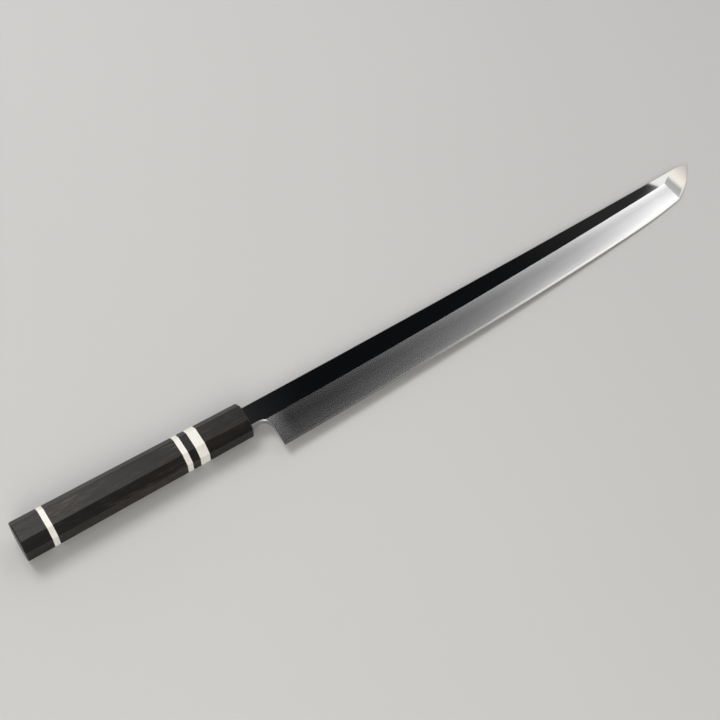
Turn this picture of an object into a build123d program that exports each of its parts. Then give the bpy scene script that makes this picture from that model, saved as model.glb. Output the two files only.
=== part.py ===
"""Long single-bevel slicing knife with a sword-style point and an octagonal handle, in millimetres.

X runs from the handle's butt to the point, +Y towards the spine, and +Z out of the bevelled front face.
The origin is the centre of the handle's butt end, on the handle's axis.
"""
from build123d import *
from math import sqrt
import os

# Handle, an octagon that narrows from the butt to the mouth
handle_length = 164.7
butt_width = 25.2
butt_thickness = 23.0
butt_corner_leg = 5.8
mouth_width = 23.0
mouth_thickness = 20.0
mouth_corner_leg = 5.5
facet_edge_radius = 0.5
end_chamfer = 0.7

# Lengths of the handle's segments along X; the grip takes what they leave
butt_cap_length = 18.9
rear_ring_length = 3.9
thin_ring_length = 3.9
spacer_length = 5.6
thick_ring_length = 6.8
ferrule_length = 32.8

# Wooden core that joins the segments, in a bore that stops short of both ends
core_diameter = 14.0
core_glue_line = 0.05
butt_cap_wall = 8.0
ferrule_wall = 8.0

# Tang, and the bedding that fills the room around it
tang_length = 115.0
tang_width_front = 10.4
tang_width_rear = 6.4
tang_thickness_front = 4.0
tang_thickness_rear = 2.8
tang_point_length = 9.0
tang_point_width = 2.4
neck_seat_depth = 3.0
bedding_gap = 0.4

# Blade, measured from the handle's mouth along X and from its axis along Y
blade_length = 360.0
neck_length = 13.1
neck_drop = 7.2
neck_thickness = 4.8
yokote_thickness = 2.8
choil_radius = 6.8
heel_drop = 29.0
spine_height_mouth = 7.9
spine_height_middle = 9.9
spine_height_end = 13.75
eased_spine = 0.6
eased_neck = 0.6

# Flat above the bevel
flat_width_heel = 16.1
flat_width_middle = 13.0
flat_width_yokote = 7.1

# Point, with the cross line that sets it off and its own small facet
point_length = 23.4
yokote_lean = 2.7
yokote_drop = 8.6
point_spine_run = 15.1
point_drop = 0.7
point_edge_bow = 1.8

# Sweep of the cutting edge from the heel to the cross line, as shares of its run and of its rise
edge_run_shares = (0.0, 0.285, 0.58, 0.838, 0.945, 1.0)
edge_rise_shares = (0.0, 0.14, 0.363, 0.66, 0.843, 1.0)

# Honed secondary bevel, and the flat left at the very edge
honed_width = 1.5
honed_height = 0.52
edge_land = 0.08

# Hard steel layer under the soft iron body
steel_thickness_heel = 2.3
steel_thickness_yokote = 1.35
steel_start = 6.0

# Hollow ground into the back, inside a narrow flat rim
hollow_depth = 0.3
hollow_rim = 2.2
hollow_run_shares = (0.04, 0.065, 0.12, 0.3, 0.5, 0.7, 0.88, 0.95, 0.975)
hollow_width_shares = (0.3, 0.8, 1.0, 1.0, 1.0, 1.0, 1.0, 0.8, 0.3)

# Cross-sections that shape the long bevel and the point's facet
bevel_stations = 9
point_stations = 5
spine_stations = 5

# Room by which a cutting tool runs past a surface
overrun = 4.0

# Places that follow from the sizes above
mouth_x = handle_length
neck_start_x = mouth_x - neck_seat_depth
heel_x = mouth_x + neck_length
tip_x = heel_x + blade_length
yokote_x = tip_x - point_length
ridge_end_x = tip_x - point_spine_run
back_z = -neck_thickness / 2
lid_z = neck_thickness / 2 + overrun
floor_z = back_z - overrun
thinning = (neck_thickness - yokote_thickness) / (yokote_x - mouth_x)
steel_thinning = (steel_thickness_heel - steel_thickness_yokote) / (yokote_x - heel_x)


def front_z(x):
    """Height of the front flat at x; it leans down towards the point."""
    return back_z + neck_thickness - thinning * (x - mouth_x)


def steel_z(x):
    """Height at x of the plane where hard steel meets soft iron."""
    return back_z + steel_thickness_heel - steel_thinning * (x - heel_x)


def back_level(x):
    """Height of the flat back, the same at every x."""
    return back_z


def solid_between(start, end):
    """A solid with flat faces between two outlines that have as many corners each."""
    count = len(start)
    faces = [Face(Wire.make_polygon(start)), Face(Wire.make_polygon(end))]
    for i in range(count):
        j = (i + 1) % count
        faces.append(Face(Wire.make_polygon([start[i], start[j], end[j], end[i]])))
    return Solid(Shell(faces))


def octagon(x, width, thickness, leg):
    """Corners of the handle's cross-section at x."""
    y, z = width / 2, thickness / 2
    upper = [Vector(x, y, z - leg), Vector(x, y - leg, z), Vector(x, leg - y, z), Vector(x, -y, z - leg)]
    lower = [Vector(x, -y, leg - z), Vector(x, leg - y, -z), Vector(x, y - leg, -z), Vector(x, y, leg - z)]
    return upper + lower


def tapered_bar(x_start, start_size, x_end, end_size):
    """A rectangular bar on the handle's axis; each size is a width and a thickness."""
    ends = []
    for x, (width, thickness) in ((x_start, start_size), (x_end, end_size)):
        y, z = width / 2, thickness / 2
        ends.append([Vector(x, y, z), Vector(x, -y, z), Vector(x, -y, -z), Vector(x, y, -z)])
    return solid_between(*ends)


def round_bar(x_start, x_end, diameter):
    """A cylinder along the handle's axis."""
    return Pos((x_start + x_end) / 2, 0, 0) * Rot(0, 90, 0) * Cylinder(diameter / 2, x_end - x_start)


# Plan lines of the blade
def spine_line():
    """The spine's arc, from inside the mouth to where the point's small ridge meets it."""
    start = (neck_start_x, spine_height_mouth)
    middle = ((neck_start_x + ridge_end_x) / 2, spine_height_middle)
    return ThreePointArc(start, middle, (ridge_end_x, spine_height_end))


spine = spine_line()


def spine_y(x):
    """Height of the spine over the handle's axis at x."""
    centre = spine.arc_center
    return centre.Y - sqrt(spine.radius**2 - (x - centre.X) ** 2)


# Corners of the blade in plan
heel = Vector(heel_x, -heel_drop)
yokote_edge = Vector(yokote_x, -yokote_drop)
yokote_top = Vector(yokote_x - yokote_lean, spine_y(yokote_x - yokote_lean) - flat_width_yokote)
ridge_end = Vector(ridge_end_x, spine_height_end)
tip = Vector(tip_x, spine_height_end - point_drop)


def cutting_edge():
    """The edge from the heel to the cross line."""
    run, rise = yokote_edge.X - heel.X, yokote_edge.Y - heel.Y
    points = []
    for run_share, rise_share in zip(edge_run_shares, edge_rise_shares):
        points.append(heel + Vector(run * run_share, rise * rise_share))
    return Spline(*points)


def point_edge():
    """The edge from the cross line to the tip, a shallow arc."""
    along = (tip - yokote_edge).normalized()
    outward = Vector(along.Y, -along.X)
    return ThreePointArc(yokote_edge, (yokote_edge + tip) / 2 + outward * point_edge_bow, tip)


def bevel_top():
    """The line where the long bevel meets the flat above it."""
    middle_x = (heel_x + yokote_top.X) / 2
    start = Vector(heel_x, spine_y(heel_x) - flat_width_heel)
    return ThreePointArc(start, Vector(middle_x, spine_y(middle_x) - flat_width_middle), yokote_top)


edge = cutting_edge()
edge_at_point = point_edge()
ridge = bevel_top()
small_ridge = Line(yokote_top, ridge_end)


# Tools that cut the blade's faces
def wedge(x_start, x_end, height, far_z):
    """Everything between a plane that leans along X and the level far_z."""
    y = heel_drop + overrun
    ends = []
    for x in (x_start, x_end):
        z = height(x)
        ends.append([Vector(x, -y, z), Vector(x, y, z), Vector(x, y, far_z), Vector(x, -y, far_z)])
    return solid_between(*ends)


def bevel_outline(top, bottom):
    """Cross-section of what a bevel grinds away, over the plan line from its ridge to its edge."""
    inward = (top - bottom).normalized()
    honed = bottom + inward * honed_width + Vector(0, 0, back_z + honed_height)
    ridge_point = top + Vector(0, 0, front_z(top.X))
    land = bottom + Vector(0, 0, back_z + edge_land)
    above = ridge_point + (ridge_point - honed).normalized() * overrun
    outside = land + (land - honed).normalized() * overrun
    lid = [Vector(outside.X, outside.Y, lid_z), Vector(above.X, above.Y, lid_z)]
    return Wire.make_polygon([above, honed, outside] + lid)


def past_start(line):
    """A point ahead of a plan line's start."""
    return line @ 0 - (line % 0) * overrun


def past_end(line):
    """A point beyond a plan line's end."""
    return line @ 1 + (line % 1) * overrun


def places_along(line, stations):
    """Points at even shares of a plan line, both ends included."""
    return [line @ (i / (stations - 1)) for i in range(stations)]


def bevel_outlines(upper, lower, stations):
    """Cross-sections at even shares of the ridge and of the edge."""
    pairs = zip(places_along(upper, stations), places_along(lower, stations))
    return [bevel_outline(top, bottom) for top, bottom in pairs]


def long_bevel_tool():
    """What grinding takes off to make the long bevel, from ahead of the heel to the cross line."""
    first = bevel_outline(past_start(ridge), past_start(edge))
    return Solid.make_loft([first] + bevel_outlines(ridge, edge, bevel_stations))


def point_facet_tool():
    """What grinding takes off to make the point's facet, from the cross line to beyond the tip."""
    last = bevel_outline(past_end(small_ridge), past_end(edge_at_point))
    return Solid.make_loft(bevel_outlines(small_ridge, edge_at_point, point_stations) + [last])


def spine_easing_tool(level, up):
    """A three-cornered strip that takes off the spine's edge, on the front with up 1 or the back with -1."""
    outlines = []
    for place in [past_start(spine)] + places_along(spine, spine_stations) + [past_end(spine)]:
        corner = place + Vector(0, 0, level(place.X))
        on_face = corner - Vector(0, eased_spine + overrun) + Vector(0, 0, up * overrun)
        on_spine = corner + Vector(0, overrun) - Vector(0, 0, up * (eased_spine + overrun))
        outlines.append(Wire.make_polygon([on_face, on_spine, corner + Vector(0, overrun, up * overrun)]))
    return Solid.make_loft(outlines)


def back_hollow_tool():
    """The shallow hollow in the back, a crown that narrows at both ends."""
    outlines = []
    for run_share, width_share in zip(hollow_run_shares, hollow_width_shares):
        low = edge @ run_share
        high = Vector(low.X, spine_y(low.X))
        middle = (low + high) / 2
        half = Vector(0, ((high.Y - low.Y) / 2 - hollow_rim) * width_share)
        level = Vector(0, 0, back_z)
        start, end = middle - half + level, middle + half + level
        crown = ThreePointArc(start, middle + level + Vector(0, 0, hollow_depth * width_share), end)
        drop = Vector(0, 0, -overrun)
        skirt = Polyline(end, end + drop, start + drop, start)
        outlines.append(Wire([crown] + skirt.edges()))
    return Solid.make_loft(outlines)


# Pieces
def blade_plate():
    """The blade and its neck, cut to the outline and thinned to the point, with no bevel yet."""
    choil_end = Vector(heel_x, -neck_drop - choil_radius)
    choil_start = Vector(heel_x - choil_radius, -neck_drop)
    choil_centre = Vector(choil_start.X, choil_end.Y)
    choil_middle = choil_centre + Vector(1, 1).normalized() * choil_radius
    neck_low = Vector(neck_start_x, -neck_drop)
    outline = [
        spine,
        Line(ridge_end, tip),
        edge_at_point,
        edge,
        Line(heel, choil_end),
        ThreePointArc(choil_end, choil_middle, choil_start),
        Line(choil_start, neck_low),
        Line(neck_low, (neck_start_x, spine_height_mouth)),
    ]
    plate = extrude(Pos(0, 0, back_z) * make_face(outline), neck_thickness + overrun, dir=(0, 0, 1))
    return plate - wedge(neck_start_x - overrun, tip_x + overrun, front_z, lid_z + overrun)


def eased_plate():
    """The plate with both spine edges eased, and the front edge under the neck eased more."""
    plate = blade_plate()
    neck_edges = [
        e for e in plate.edges()
        if e.center().Z > 0 and neck_start_x < e.center().X < heel_x and e.center().Y < -neck_drop / 2
    ]
    plate = chamfer(neck_edges, eased_neck)
    return plate - spine_easing_tool(front_z, 1) - spine_easing_tool(back_level, -1)


def tang(gap):
    """The tang, grown by a gap on every side."""
    rear_x = mouth_x - tang_length
    front = (tang_width_front + 2 * gap, tang_thickness_front + 2 * gap)
    rear = (tang_width_rear + 2 * gap, tang_thickness_rear + 2 * gap)
    point = (tang_point_width + 2 * gap, tang_thickness_rear + 2 * gap)
    body = tapered_bar(rear_x + tang_point_length, rear, neck_start_x, front)
    return body + tapered_bar(rear_x - gap, point, rear_x + tang_point_length, rear)


def neck_seat():
    """The pocket in the mouth that takes the neck's end, with room for bedding."""
    width = spine_height_mouth + neck_drop + 2 * bedding_gap
    depth = neck_seat_depth + bedding_gap
    thickness = neck_thickness + 2 * bedding_gap
    return Pos(mouth_x - depth / 2, (spine_height_mouth - neck_drop) / 2, 0) * Box(depth, width, thickness)


def handle_blank():
    """The whole handle in one piece, with its facet edges and both ends eased."""
    blank = solid_between(
        octagon(0, butt_width, butt_thickness, butt_corner_leg),
        octagon(mouth_x, mouth_width, mouth_thickness, mouth_corner_leg),
    )
    ends = blank.faces().sort_by(Axis.X)
    blank = chamfer(ends[0].edges() + ends[-1].edges(), end_chamfer)
    return fillet([e for e in blank.edges() if e.length > handle_length / 2], facet_edge_radius)


def segment_lengths():
    """The handle's segments from the butt to the mouth, with their lengths."""
    lengths = {
        "butt_cap": butt_cap_length,
        "rear_ring": rear_ring_length,
        "grip": 0,
        "thin_front_ring": thin_ring_length,
        "ring_spacer": spacer_length,
        "thick_front_ring": thick_ring_length,
        "ferrule": ferrule_length,
    }
    lengths["grip"] = handle_length - sum(lengths.values())
    return lengths


def handle_segments():
    """Each segment of the handle, bored for the core and slotted for the tang."""
    core_bore = round_bar(butt_cap_wall, mouth_x - ferrule_wall, core_diameter + 2 * core_glue_line)
    bored = handle_blank() - core_bore - tang(bedding_gap) - neck_seat()
    segments = {}
    x = 0
    for name, length in segment_lengths().items():
        slab = Pos(x + length / 2, 0, 0) * Box(length, 2 * butt_width, 2 * butt_thickness)
        segments[name] = bored & slab
        x += length
    return segments


def core():
    """The wooden core, slotted for the tang."""
    return round_bar(butt_cap_wall, mouth_x - ferrule_wall, core_diameter) - tang(bedding_gap)


def blade():
    """Both layers of the blade together, with the tang."""
    ground = eased_plate() - long_bevel_tool() - point_facet_tool() - back_hollow_tool()
    return ground + tang(0)


def make_parts():
    """Every node by name."""
    whole_blade = blade()
    steel_zone = wedge(mouth_x + steel_start, tip_x + overrun, steel_z, floor_z)
    parts = handle_segments()
    parts["core_dowel"] = core()
    parts["tang_bedding"] = tang(bedding_gap) + neck_seat() - whole_blade
    parts["blade_iron_body"] = whole_blade - steel_zone
    parts["edge_steel"] = whole_blade & steel_zone
    return parts


os.makedirs("parts", exist_ok=True)
for name, shape in make_parts().items():
    export_step(shape, f"parts/{name}.step")
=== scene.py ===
"""Finishes, floor, light and camera for the long single-bevel knife. Lengths are in metres."""
import math

import bpy
from mathutils import Matrix, Vector


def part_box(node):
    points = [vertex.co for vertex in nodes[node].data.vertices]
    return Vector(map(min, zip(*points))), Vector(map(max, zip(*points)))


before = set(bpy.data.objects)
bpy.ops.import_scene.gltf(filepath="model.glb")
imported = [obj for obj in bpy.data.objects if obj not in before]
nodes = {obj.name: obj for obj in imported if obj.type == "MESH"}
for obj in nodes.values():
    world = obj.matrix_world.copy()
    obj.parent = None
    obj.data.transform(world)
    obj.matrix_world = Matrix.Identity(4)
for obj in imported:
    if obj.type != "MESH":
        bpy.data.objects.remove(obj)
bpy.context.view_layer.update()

MM = 0.001

# Sizes of the blade, from the frame's boxes and from the model's own values.
# The yokote is the leaning crosswise line that sets off the point's facet.
steel_low, steel_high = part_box("edge_steel")
_, ferrule_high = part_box("ferrule")
mouth_x = ferrule_high.x
heel_x = mouth_x + 13.1 * MM
tip_x = steel_high.x
back_z = steel_low.z
neck_thickness = 4.8 * MM
yokote_thickness = 2.8 * MM
yokote_x = tip_x - 23.4 * MM
yokote_lean = 2.7 * MM
yokote_height = 15.2 * MM
yokote_top_y = 6.6 * MM
honed_height = 0.52 * MM
thinning = (neck_thickness - yokote_thickness) / (yokote_x - mouth_x)

# Slopes of the point's facet at its middle, and their change per metre along X and along Y
facet_middle = Vector((tip_x - 17.8 * MM, 3.0 * MM, 0.0))
facet_slopes = ((0.1153, 2.285, 1.242), (-0.1459, 1.5, -0.73))

# The middle of the part, which the lamps face
part_middle = (0.27, 0.0, 0.0)


# Shader nodes
def new_material(name):
    """A node material with its shader and its node tree."""
    material = bpy.data.materials.new(name)
    material.use_nodes = True
    tree = material.node_tree
    return material, tree, tree.nodes["Principled BSDF"]


def put(socket, value, tree):
    """Links a socket to another one, or sets its own value."""
    if isinstance(value, bpy.types.NodeSocket):
        tree.links.new(value, socket)
    else:
        socket.default_value = value


def add(tree, kind, inputs=(), **settings):
    """Adds a node; inputs pairs a socket's name or number with a value or another node's socket."""
    node = tree.nodes.new(kind)
    for name, value in settings.items():
        setattr(node, name, value)
    for key, value in dict(inputs).items():
        put(node.inputs[key], value, tree)
    return node


def calculate(tree, operation, first, second=0.0, clamp=False):
    """One step of arithmetic."""
    inputs = {0: first, 1: second}
    return add(tree, "ShaderNodeMath", inputs, operation=operation, use_clamp=clamp).outputs[0]


def times(tree, first, second):
    """The product of two numbers."""
    return calculate(tree, "MULTIPLY", first, second)


def plus(tree, first, second):
    """The sum of two numbers."""
    return calculate(tree, "ADD", first, second)


def minus(tree, first, second):
    """The second number taken from the first."""
    return calculate(tree, "SUBTRACT", first, second)


def step_up(tree, value, low, high):
    """0 below low, 1 above high, and a smooth rise between them."""
    inputs = {"Value": value, "From Min": low, "From Max": high}
    return add(tree, "ShaderNodeMapRange", inputs, interpolation_type="SMOOTHSTEP").outputs[0]


def blend_values(tree, share, first, second):
    """A number that goes from first to second as share goes from 0 to 1."""
    return add(tree, "ShaderNodeMix", {0: share, 2: first, 3: second}, data_type="FLOAT").outputs[0]


def blend_vectors(tree, share, first, second):
    """A vector that goes from first to second as share goes from 0 to 1."""
    return add(tree, "ShaderNodeMix", {0: share, 4: first, 5: second}, data_type="VECTOR").outputs[1]


def blend_colours(tree, share, first, second, way="MIX"):
    """A colour that goes from first to second as share goes from 0 to 1."""
    inputs = {0: share, 6: first, 7: second}
    return add(tree, "ShaderNodeMix", inputs, data_type="RGBA", blend_type=way).outputs[2]


def colour(red, green, blue):
    """A linear colour with full alpha."""
    return (red, green, blue, 1.0)


def grey(value):
    """A neutral linear colour."""
    return colour(value, value, value)


def ramp(tree, share, stops):
    """A colour ramp through (place, colour) stops."""
    node = add(tree, "ShaderNodeValToRGB", {0: share})
    band = node.color_ramp
    while len(band.elements) < len(stops):
        band.elements.new(0.5)
    for element, (place, tone) in zip(band.elements, stops):
        element.position = place
        element.color = tone
    return node.outputs[0]


def place_on_part(tree):
    """The point on the part, in metres."""
    return add(tree, "ShaderNodeTexCoord").outputs["Object"]


def apart(tree, vector):
    """The three numbers of a vector."""
    return tuple(add(tree, "ShaderNodeSeparateXYZ", {0: vector}).outputs)


def noise(tree, vector, scale, offset=(0, 0, 0), detail=4.0, roughness=0.5, distortion=0.0):
    """Noise whose features are 1 / scale metres long along each axis."""
    mapping = add(tree, "ShaderNodeMapping", {"Vector": vector, "Location": offset, "Scale": scale})
    inputs = {
        "Vector": mapping.outputs[0],
        "Scale": 1.0,
        "Detail": detail,
        "Roughness": roughness,
        "Distortion": distortion,
    }
    return add(tree, "ShaderNodeTexNoise", inputs).outputs["Fac"]


def bump(tree, height, depth, strength=1.0, normal=None):
    """A normal from a height of 0 to 1 that stands for depth metres."""
    inputs = {"Height": height, "Distance": depth, "Strength": strength}
    node = add(tree, "ShaderNodeBump", inputs)
    if normal is not None:
        put(node.inputs["Normal"], normal, tree)
    return node.outputs[0]


# In the values below, a scale is a noise's features per metre along X, Y and Z, a range holds the two
# levels between which a share rises from 0 to 1, and two roughnesses are the ends of a blend.

# Dark wood of the handle
ebony_dark = colour(0.0036, 0.0033, 0.0031)
ebony_mid = colour(0.0105, 0.0090, 0.0080)
ebony_brown = colour(0.058, 0.041, 0.030)
ebony_glint = colour(0.098, 0.080, 0.065)
ebony_pore = colour(0.0035, 0.0033, 0.0032)
ebony_roughness = (0.30, 0.42)
ebony_specular = 0.22
broad_scale = (9, 240, 240)
fibre_scale = (45, 1500, 1500)
pore_scale = (150, 3600, 3600)
patch_scale = (28, 70, 70)
glint_scale = (95, 1350, 1350)
figure_scale = (34, 1050, 1050)
figure_offset = (2.0, 5.0, 1.0)
fleck_range = (0.47, 0.68)
patch_range = (0.42, 0.60)
glint_range = (0.56, 0.72)
pore_range = (0.64, 0.74)
pore_cover = 0.7
pore_roughening = 0.15
fibre_height = 0.5
figure_depth = 0.11 * MM
grain_depth = 0.03 * MM
grain_strength = 0.5


def ebony(name, offset, streaks):
    """Near-black wood with fine fibres, short pores and brown streaks along the handle."""
    material, tree, shader = new_material(name)
    vector = place_on_part(tree)
    broad = noise(tree, vector, broad_scale, offset, detail=5, roughness=0.55, distortion=0.4)
    fibres = noise(tree, vector, fibre_scale, offset, detail=3, roughness=0.6)
    pores = noise(tree, vector, pore_scale, offset, detail=2)
    patches = noise(tree, vector, patch_scale, offset, detail=2)
    glint_offset = (offset[2], offset[0], offset[1])
    glints = noise(tree, vector, glint_scale, glint_offset, detail=3)

    patch = step_up(tree, patches, *patch_range)
    fleck = times(tree, step_up(tree, fibres, *fleck_range), patch)
    glint = times(tree, step_up(tree, glints, *glint_range), patch)
    pore = step_up(tree, pores, *pore_range)
    base = ramp(tree, broad, [(0.3, ebony_dark), (0.62, ebony_mid)])
    base = blend_colours(tree, times(tree, fleck, streaks), base, ebony_brown)
    base = blend_colours(tree, times(tree, glint, streaks), base, ebony_glint)
    base = blend_colours(tree, times(tree, pore, pore_cover), base, ebony_pore)
    put(shader.inputs["Base Color"], base, tree)

    rough = blend_values(tree, fibres, *ebony_roughness)
    rough = plus(tree, rough, times(tree, pore, pore_roughening))
    put(shader.inputs["Roughness"], rough, tree)
    shader.inputs["Specular IOR Level"].default_value = ebony_specular

    figure = noise(tree, vector, figure_scale, figure_offset, detail=2)
    waved = bump(tree, figure, figure_depth)
    grain = minus(tree, times(tree, fibres, fibre_height), pore)
    put(shader.inputs["Normal"], bump(tree, grain, grain_depth, grain_strength, waved), tree)
    return material


# Pale rings between the wood
ring_cream = colour(0.855, 0.828, 0.762)
ring_white = colour(0.90, 0.886, 0.842)
ring_line = colour(0.77, 0.69, 0.575)
ring_roughness = (0.36, 0.48)
ring_specular = 0.4
ring_subsurface = 0.12
ring_subsurface_radius = (1.0, 0.7, 0.45)
ring_subsurface_depth = 1.2 * MM
mottle_scale = (260, 200, 200)
line_scale = (120, 1400, 1400)
line_range = (0.55, 0.75)
line_cover = 0.35
line_depth = 0.01 * MM
line_strength = 0.35


def pale_ring(name, offset):
    """Warm white, polished, with faint mottling and fine lines along the handle."""
    material, tree, shader = new_material(name)
    vector = place_on_part(tree)
    mottle = noise(tree, vector, mottle_scale, offset, detail=4, roughness=0.6)
    lines = noise(tree, vector, line_scale, offset, detail=3)

    line = times(tree, step_up(tree, lines, *line_range), line_cover)
    base = ramp(tree, mottle, [(0.32, ring_cream), (0.6, ring_white)])
    base = blend_colours(tree, line, base, ring_line)
    put(shader.inputs["Base Color"], base, tree)
    put(shader.inputs["Roughness"], blend_values(tree, mottle, *ring_roughness), tree)
    shader.inputs["Specular IOR Level"].default_value = ring_specular
    shader.inputs["Subsurface Weight"].default_value = ring_subsurface
    shader.inputs["Subsurface Radius"].default_value = ring_subsurface_radius
    shader.inputs["Subsurface Scale"].default_value = ring_subsurface_depth
    put(shader.inputs["Normal"], bump(tree, lines, line_depth, line_strength), tree)
    return material


# Zones of the blade, told apart by how far a face leans and by where it lies. The first four ranges
# are of the normal's Z part, and hollow_heights are heights over the back's flat rim.
flat_range = (0.993, 0.997)
bevel_range = (0.967, 0.971)
honed_range = (0.88, 0.92)
back_range = (0.9, 0.95)
hollow_heights = (0.004 * MM, 0.03 * MM)
yokote_blur = 0.05 * MM
heel_reach = 14.0 * MM
tip_start = 13.0 * MM
tip_full = 5.0 * MM
drift_scale = (11, 30, 30)
drift_offset = (4.0, 0.0, 0.0)
drift_amount = 0.22


def zones(tree, vector, x, y, z):
    """Shares from 0 to 1 that say which ground face a point of the blade lies on."""
    _, _, up = apart(tree, add(tree, "ShaderNodeTexCoord").outputs["Normal"])
    flat = step_up(tree, up, *flat_range)
    flat_or_bevel = step_up(tree, up, *bevel_range)
    bevelled = times(tree, flat_or_bevel, minus(tree, 1.0, flat))
    honed = times(tree, step_up(tree, up, *honed_range), minus(tree, 1.0, flat_or_bevel))
    back = step_up(tree, times(tree, up, -1.0), *back_range)

    lean = yokote_lean / yokote_height
    line_start = yokote_x - yokote_lean + yokote_top_y * lean
    line_x = minus(tree, line_start, times(tree, y, lean))
    past_line = step_up(tree, minus(tree, x, line_x), -yokote_blur, yokote_blur)
    facet = times(tree, bevelled, past_line)
    bevel = calculate(tree, "SUBTRACT", bevelled, facet, clamp=True)

    front_start = back_z + neck_thickness + thinning * mouth_x
    front_z = minus(tree, front_start, times(tree, x, thinning))
    drop = minus(tree, front_z, z)
    whole = minus(tree, front_z, back_z + honed_height)
    across = calculate(tree, "DIVIDE", drop, whole, clamp=True)
    drift = noise(tree, vector, drift_scale, drift_offset, detail=2)
    across = plus(tree, across, times(tree, minus(tree, drift, 0.5), drift_amount))
    return {
        "flat": flat,
        "bevel": bevel,
        "facet": facet,
        "honed": honed,
        "back": back,
        "across": across,
        "near_heel": minus(tree, 1.0, step_up(tree, x, heel_x, heel_x + heel_reach)),
        "near_tip": step_up(tree, x, tip_x - tip_start, tip_x - tip_full),
        "in_hollow": step_up(tree, minus(tree, z, back_z), *hollow_heights),
    }


def polished_facet_normal(tree, x, y):
    """The point facet's normal without the small waves of its mesh, which a mirror finish would show."""
    off_x = minus(tree, x, facet_middle.x)
    off_y = minus(tree, y, facet_middle.y)
    slopes = []
    for start, along_x, along_y in facet_slopes:
        slope = plus(tree, start, times(tree, off_x, along_x))
        slopes.append(plus(tree, slope, times(tree, off_y, along_y)))
    leaning = add(tree, "ShaderNodeCombineXYZ", {0: slopes[0], 1: slopes[1], 2: 1.0}).outputs[0]
    spaces = {"vector_type": "NORMAL", "convert_from": "OBJECT", "convert_to": "WORLD"}
    turned = add(tree, "ShaderNodeVectorTransform", {0: leaning}, **spaces).outputs[0]
    return add(tree, "ShaderNodeVectorMath", {0: turned}, operation="NORMALIZE").outputs[0]


# Steel of the blade. The bevel's tones go from its ridge at 0 to its honed line at 1.
bevel_tones = (
    (0.0, 0.653),
    (0.07, 0.569),
    (0.2, 0.47),
    (0.35, 0.426),
    (0.5, 0.463),
    (0.65, 0.512),
    (0.8, 0.566),
    (1.0, 0.714),
)
cloud_tones = ((0.3, grey(0.92)), (0.7, grey(1.0)))
mirror_tone = colour(0.64, 0.645, 0.65)
side_tone = colour(0.45, 0.455, 0.46)
# Painted highlight: the bevel's tone is lifted towards a light grey over its first millimetres past the
# heel
painted_heel_highlight = grey(0.92)
painted_heel_highlight_share = 0.85
honed_tone = colour(0.866, 0.853, 0.812)
honed_tip_tone = colour(0.62, 0.618, 0.605)
back_rim_tone = colour(0.62, 0.625, 0.63)
hollow_tone = colour(0.50, 0.505, 0.51)
haze_spread = 0.025
heel_roughening = 0.055
honed_roughness = 0.2
facet_roughness = 0.065
flat_roughness = (0.012, 0.022)
back_roughness = (0.14, 0.3)
cloud_scale = (22, 60, 60)
scratch_scale = (22, 1500, 1500)
scratch_depth = 0.0035 * MM
mirror_smoothing = 0.97


def blade_tone(tree, zone, clouds, tint):
    """The steel's reflectance on each of the blade's faces, apart from its mirrors, with a painted
    highlight on the bevel near the heel.
    """
    hazy = ramp(tree, zone["across"], [(place, grey(tone)) for place, tone in bevel_tones])
    hazy = blend_colours(tree, 1.0, hazy, tint, "MULTIPLY")
    hazy = blend_colours(tree, 1.0, hazy, ramp(tree, clouds, cloud_tones), "MULTIPLY")
    # Painted highlight: near the heel the bevel's tone is blended towards a light grey
    hazy = blend_colours(tree, times(tree, zone["near_heel"], painted_heel_highlight_share), hazy, painted_heel_highlight)
    rear = blend_colours(tree, zone["in_hollow"], back_rim_tone, hollow_tone)
    honed = blend_colours(tree, zone["near_tip"], honed_tone, honed_tip_tone)
    tone = blend_colours(tree, zone["back"], side_tone, rear)
    tone = blend_colours(tree, zone["bevel"], tone, hazy)
    return blend_colours(tree, zone["honed"], tone, honed)


def blade_roughness(tree, zone, clouds, scratches, haze, side_roughness):
    """The steel's roughness on each of the blade's faces."""
    upper = calculate(tree, "SUBTRACT", 1.0, zone["across"], clamp=True)
    upper_heel = times(tree, upper, zone["near_heel"])
    fine = blend_values(tree, scratches, haze - haze_spread, haze + haze_spread)
    fine = plus(tree, fine, times(tree, upper_heel, heel_roughening))
    rear = blend_values(tree, zone["in_hollow"], *back_roughness)
    polished = blend_values(tree, clouds, *flat_roughness)
    rough = blend_values(tree, zone["back"], side_roughness, rear)
    rough = blend_values(tree, zone["bevel"], rough, fine)
    rough = blend_values(tree, zone["honed"], rough, honed_roughness)
    rough = blend_values(tree, zone["flat"], rough, polished)
    return blend_values(tree, zone["facet"], rough, facet_roughness)


def blade_metal(name, tint, haze, side_roughness):
    """Ground steel: a mirror flat and point, a hazy bevel, a bright honed line and satin elsewhere."""
    material, tree, shader = new_material(name)
    vector = place_on_part(tree)
    x, y, z = apart(tree, vector)
    zone = zones(tree, vector, x, y, z)
    scratches = noise(tree, vector, scratch_scale, detail=2, roughness=0.5)
    clouds = noise(tree, vector, cloud_scale, detail=3)

    mirror = calculate(tree, "ADD", zone["flat"], zone["facet"], clamp=True)
    base = blend_colours(tree, mirror, blade_tone(tree, zone, clouds, tint), mirror_tone)
    put(shader.inputs["Base Color"], base, tree)
    rough = blade_roughness(tree, zone, clouds, scratches, haze, side_roughness)
    put(shader.inputs["Roughness"], rough, tree)
    shader.inputs["Metallic"].default_value = 1.0

    keep = minus(tree, 1.0, times(tree, mirror, mirror_smoothing))
    rubbed_normal = bump(tree, times(tree, scratches, keep), scratch_depth)
    facet_normal = polished_facet_normal(tree, x, y)
    normal = blend_vectors(tree, zone["facet"], rubbed_normal, facet_normal)
    put(shader.inputs["Normal"], normal, tree)
    return material


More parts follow.
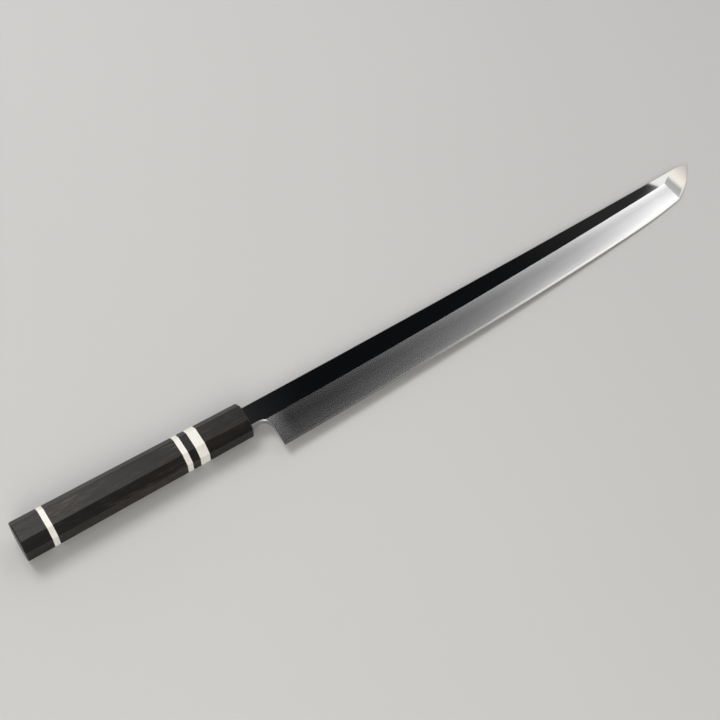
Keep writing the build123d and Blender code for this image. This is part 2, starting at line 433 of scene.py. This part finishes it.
# Pieces that only show at the mouth or when the handle is taken apart
core_tones = ((0.3, colour(0.50, 0.36, 0.21)), (0.7, colour(0.70, 0.56, 0.37)))
core_scale = (14, 500, 500)
core_roughness = (0.6, 0.75)
core_strength = 0.4
resin_tones = ((0.3, colour(0.030, 0.018, 0.011)), (0.7, colour(0.060, 0.038, 0.024)))
resin_scale = (700, 700, 700)
resin_roughness = (0.45, 0.65)
resin_strength = 0.5
inner_depth = 0.05 * MM


def plain_wood(name):
    """Light, unfinished wood of the core."""
    material, tree, shader = new_material(name)
    rings = noise(tree, place_on_part(tree), core_scale, detail=4, distortion=0.6)
    put(shader.inputs["Base Color"], ramp(tree, rings, core_tones), tree)
    put(shader.inputs["Roughness"], blend_values(tree, rings, *core_roughness), tree)
    put(shader.inputs["Normal"], bump(tree, rings, inner_depth, core_strength), tree)
    return material


def resin(name):
    """Dark brown bedding with a slight unevenness."""
    material, tree, shader = new_material(name)
    lumps = noise(tree, place_on_part(tree), resin_scale, detail=3)
    put(shader.inputs["Base Color"], ramp(tree, lumps, resin_tones), tree)
    put(shader.inputs["Roughness"], blend_values(tree, lumps, *resin_roughness), tree)
    put(shader.inputs["Normal"], bump(tree, lumps, inner_depth, resin_strength), tree)
    return material


def dress(node_name, material):
    """Gives a node its finish."""
    slots = nodes[node_name].data.materials
    slots.clear()
    slots.append(material)


# Each piece has its own offset, so that its figure doesn't run on into the next one.
# The second value of a wooden piece says how strong its brown streaks are.
wooden_pieces = {
    "butt_cap": ((3.1, 0.7, 5.2), 0.25),
    "grip": ((0.0, 4.4, 1.3), 0.75),
    "ring_spacer": ((7.7, 2.2, 8.1), 0.15),
    "ferrule": ((5.5, 9.3, 3.6), 0.3),
}
pale_pieces = {
    "rear_ring": (1.5, 0.2, 3.3),
    "thin_front_ring": (4.1, 6.2, 0.9),
    "thick_front_ring": (8.8, 3.7, 2.5),
}
iron_tint = colour(1.0, 1.0, 1.0)
steel_tint = colour(1.0, 1.0, 1.004)
for piece, (offset, streaks) in wooden_pieces.items():
    dress(piece, ebony("ebony_" + piece, offset, streaks))
for piece, offset in pale_pieces.items():
    dress(piece, pale_ring("pale_" + piece, offset))
dress("blade_iron_body", blade_metal("soft_iron", iron_tint, haze=0.175, side_roughness=0.44))
dress("edge_steel", blade_metal("hard_steel", steel_tint, haze=0.185, side_roughness=0.4))
dress("core_dowel", plain_wood("core_wood"))
dress("tang_bedding", resin("bedding_resin"))


# Floor, under the handle's front lower edge and the point
floor_tones = ((0.2, grey(0.60)), (0.8, grey(0.62)))
floor_scale = (2.0, 2.0, 2.0)
floor_roughness = 0.85
floor_specular = 0.2
far_floor_tone = colour(0.575, 0.565, 0.55)
far_floor_range = (0.42, 1.15)
floor_half = 14.0
floor_gap = 0.1 * MM
rest_x = mouth_x
rest_z = -10.0 * MM
floor_slope = (back_z - rest_z) / (tip_x - rest_x)


def floor_material():
    """Plain pale floor with a barely visible unevenness."""
    material, tree, shader = new_material("floor")
    soft = noise(tree, place_on_part(tree), floor_scale, detail=2)
    put(shader.inputs["Base Color"], ramp(tree, soft, floor_tones), tree)
    shader.inputs["Roughness"].default_value = floor_roughness
    shader.inputs["Specular IOR Level"].default_value = floor_specular

    # Beyond the lamps' reach the camera and reflections see an even tone, which lights nothing else
    place = add(tree, "ShaderNodeNewGeometry").outputs["Position"]
    ends = {0: place, 1: part_middle}
    distance = add(tree, "ShaderNodeVectorMath", ends, operation="DISTANCE").outputs["Value"]
    far = step_up(tree, distance, *far_floor_range)
    rays = add(tree, "ShaderNodeLightPath").outputs
    seen = plus(tree, rays["Is Camera Ray"], rays["Is Glossy Ray"])
    seen = calculate(tree, "ADD", seen, rays["Is Transmission Ray"], clamp=True)
    even = add(tree, "ShaderNodeEmission", {"Color": far_floor_tone, "Strength": 1.0}).outputs[0]
    mix = add(tree, "ShaderNodeMixShader", {0: times(tree, far, seen), 1: shader.outputs[0], 2: even})
    put(tree.nodes["Material Output"].inputs["Surface"], mix.outputs[0], tree)
    return material


bpy.ops.mesh.primitive_plane_add(size=2 * floor_half)
floor = bpy.context.object
floor.name = "floor"
floor.rotation_euler = (0.0, -math.atan(floor_slope), 0.0)
floor.location = (rest_x, 0.0, rest_z - floor_gap)
floor.data.materials.append(floor_material())


# Light of the room by direction, in the part's frame: dark where the blade's flat mirrors it, mid-grey
# on the left and in front, a large bright panel beyond the point, soft glows higher up for the bevel,
# and a pale horizon above the floor's tone. A range holds values of one part of the direction: X, Y, Z,
# the part along panel_direction, or, where its comment says so, minus Y or minus Z.
dark_tone = colour(0.0060, 0.0066, 0.0072)
spill_tone = colour(0.026, 0.026, 0.026)
spill_range = (0.55, 0.605)
open_tone = colour(0.30, 0.302, 0.306)
left_start = -0.03
left_ends = (0.08, 0.25)
left_widening = (0.28, 0.42)
front_range = (0.22, 0.36)  # of minus Y
front_heights = (0.38, 0.54)
horizon_tone = colour(0.68, 0.675, 0.665)
horizon_range = (-0.45, -0.16)  # of minus Z
floor_range = (-0.1, -0.01)  # of minus Z
panel_direction = (0.799, 0.6014)
panel_edge = (0.6146, 0.6152)
panel_tone = colour(1.30, 1.29, 1.24)
panel_warm_tone = colour(1.44, 1.35, 1.21)
panel_warm_range = (-0.38, -0.24)  # of minus Y
panel_far_tone = colour(0.82, 0.77, 0.71)
panel_far_range = (0.618, 0.705)
panel_low_tone = grey(0.74)
panel_low_range = (-0.62, -0.25)  # of minus Z

# Centre, spread and peak of each glow, and how high the glows begin
glows = (
    ((0.505, 0.222), (0.041, 0.052), 4.5),
    ((0.450, -0.024), (0.058, 0.132), 1.61),
    ((0.610, -0.002), (0.068, 0.129), 1.24),
    ((0.4625, 0.4085), (0.0075, 0.0025), 0.56),
)
glow_heights = (0.3, 0.5)


def round_glow(tree, x, y, centre, spread, peak):
    """Light that fades smoothly from a centre; centre and spread are parts of a direction's X and Y."""
    off_x = calculate(tree, "DIVIDE", minus(tree, x, centre[0]), spread[0])
    off_y = calculate(tree, "DIVIDE", minus(tree, y, centre[1]), spread[1])
    square = plus(tree, times(tree, off_x, off_x), times(tree, off_y, off_y))
    fade = calculate(tree, "EXPONENT", times(tree, square, -0.5))
    return times(tree, fade, peak)


def glow_light(tree, x, y, z):
    """All glows together."""
    total, *others = [round_glow(tree, x, y, *glow) for glow in glows]
    for other in others:
        total = plus(tree, total, other)
    total = times(tree, total, step_up(tree, z, *glow_heights))
    return add(tree, "ShaderNodeCombineColor", {0: total, 1: total, 2: total}).outputs[0]


def panel_light(tree, ahead, frontward, lowness):
    """The panel's colour: warmer towards the front, dimmer far behind its edge and low down."""
    warm_side = step_up(tree, frontward, *panel_warm_range)
    far_side = step_up(tree, ahead, *panel_far_range)
    low_side = step_up(tree, lowness, *panel_low_range)
    tone = blend_colours(tree, warm_side, panel_tone, panel_warm_tone)
    tone = blend_colours(tree, far_side, tone, panel_far_tone)
    return blend_colours(tree, low_side, tone, panel_low_tone)


def wall_light(tree, ahead, frontward, x, y, z):
    """Ceiling and walls: dark, a little lighter beside the panel, mid-grey on the left and in front."""
    left_end = blend_values(tree, step_up(tree, y, *left_widening), *left_ends)
    left_side = minus(tree, 1.0, step_up(tree, x, left_start, left_end))
    front_side = step_up(tree, frontward, *front_range)
    front_side = times(tree, front_side, step_up(tree, z, *front_heights))
    open_side = calculate(tree, "MAXIMUM", left_side, front_side)
    tone = blend_colours(tree, step_up(tree, ahead, *spill_range), dark_tone, spill_tone)
    return blend_colours(tree, open_side, tone, open_tone)


def room_light():
    """The world's light."""
    world = bpy.data.worlds.new("room")
    bpy.context.scene.world = world
    world.use_nodes = True
    tree = world.node_tree
    x, y, z = apart(tree, add(tree, "ShaderNodeTexCoord").outputs["Generated"])
    along_x = times(tree, x, panel_direction[0])
    along_y = times(tree, y, panel_direction[1])
    ahead = plus(tree, along_x, along_y)
    frontward = times(tree, y, -1.0)
    lowness = times(tree, z, -1.0)

    total = wall_light(tree, ahead, frontward, x, y, z)
    total = blend_colours(tree, step_up(tree, lowness, *horizon_range), total, horizon_tone)
    total = blend_colours(tree, 1.0, total, glow_light(tree, x, y, z), "ADD")
    panel = panel_light(tree, ahead, frontward, lowness)
    total = blend_colours(tree, step_up(tree, ahead, *panel_edge), total, panel)
    total = blend_colours(tree, step_up(tree, lowness, *floor_range), total, far_floor_tone)
    background = tree.nodes["Background"]
    put(background.inputs["Color"], total, tree)
    background.inputs["Strength"].default_value = 1.0


def soft_box(name, direction, distance, side, radiance, tint):
    """A square lamp that faces the knife from a direction; radiance 1 looks white in a mirror."""
    data = bpy.data.lights.new(name, "AREA")
    data.shape = "SQUARE"
    data.size = side
    data.energy = radiance * math.pi * side**2
    data.color = tint
    lamp = bpy.data.objects.new(name, data)
    bpy.context.scene.collection.objects.link(lamp)
    away = Vector(direction).normalized()
    lamp.location = Vector(part_middle) + away * distance
    lamp.rotation_euler = away.to_track_quat("Z", "Y").to_euler()


room_light()
soft_box(
    "key",
    direction=(-0.18, 0.50, 0.85),
    distance=1.7,
    side=0.8,
    radiance=6.7,
    tint=(1.0, 0.985, 0.965),
)
soft_box(
    "left_fill",
    direction=(-0.50, -0.62, 0.60),
    distance=1.6,
    side=0.8,
    radiance=4.4,
    tint=(1.0, 0.95, 0.88),
)


# Camera, at the photograph's place in the part's frame; its lens and sensor are in millimetres
camera_azimuth = math.radians(-31.401)
camera_elevation = math.radians(59.0945)
camera_roll = math.radians(0.7631)
camera_place = (-56.29 * MM, -507.01 * MM, 989.15 * MM)
camera_lens = 86.482
sensor_width = 36.0
nearest_seen = 0.05
farthest_seen = 60.0


def turn(azimuth, elevation, roll):
    """The camera's rotation: it looks down at the part from an azimuth and an elevation, then rolls."""
    back_x = math.sin(azimuth) * math.cos(elevation)
    back_y = -math.cos(azimuth) * math.cos(elevation)
    back = Vector((back_x, back_y, math.sin(elevation)))
    right = Vector((math.cos(azimuth), math.sin(azimuth), 0.0))
    down = right.cross(back)
    rolled_right = right * math.cos(roll) + down * math.sin(roll)
    rolled_down = down * math.cos(roll) - right * math.sin(roll)
    return Matrix((rolled_right, -rolled_down, back)).transposed()


camera_data = bpy.data.cameras.new("camera")
camera = bpy.data.objects.new("camera", camera_data)
bpy.context.scene.collection.objects.link(camera)
bpy.context.scene.camera = camera
camera_data.sensor_width = sensor_width
camera_data.lens = camera_lens
camera_data.clip_start = nearest_seen
camera_data.clip_end = farthest_seen
camera.rotation_mode = "QUATERNION"
camera.rotation_quaternion = turn(camera_azimuth, camera_elevation, camera_roll).to_quaternion()
camera.location = camera_place

bpy.context.scene.view_settings.view_transform = "Standard"
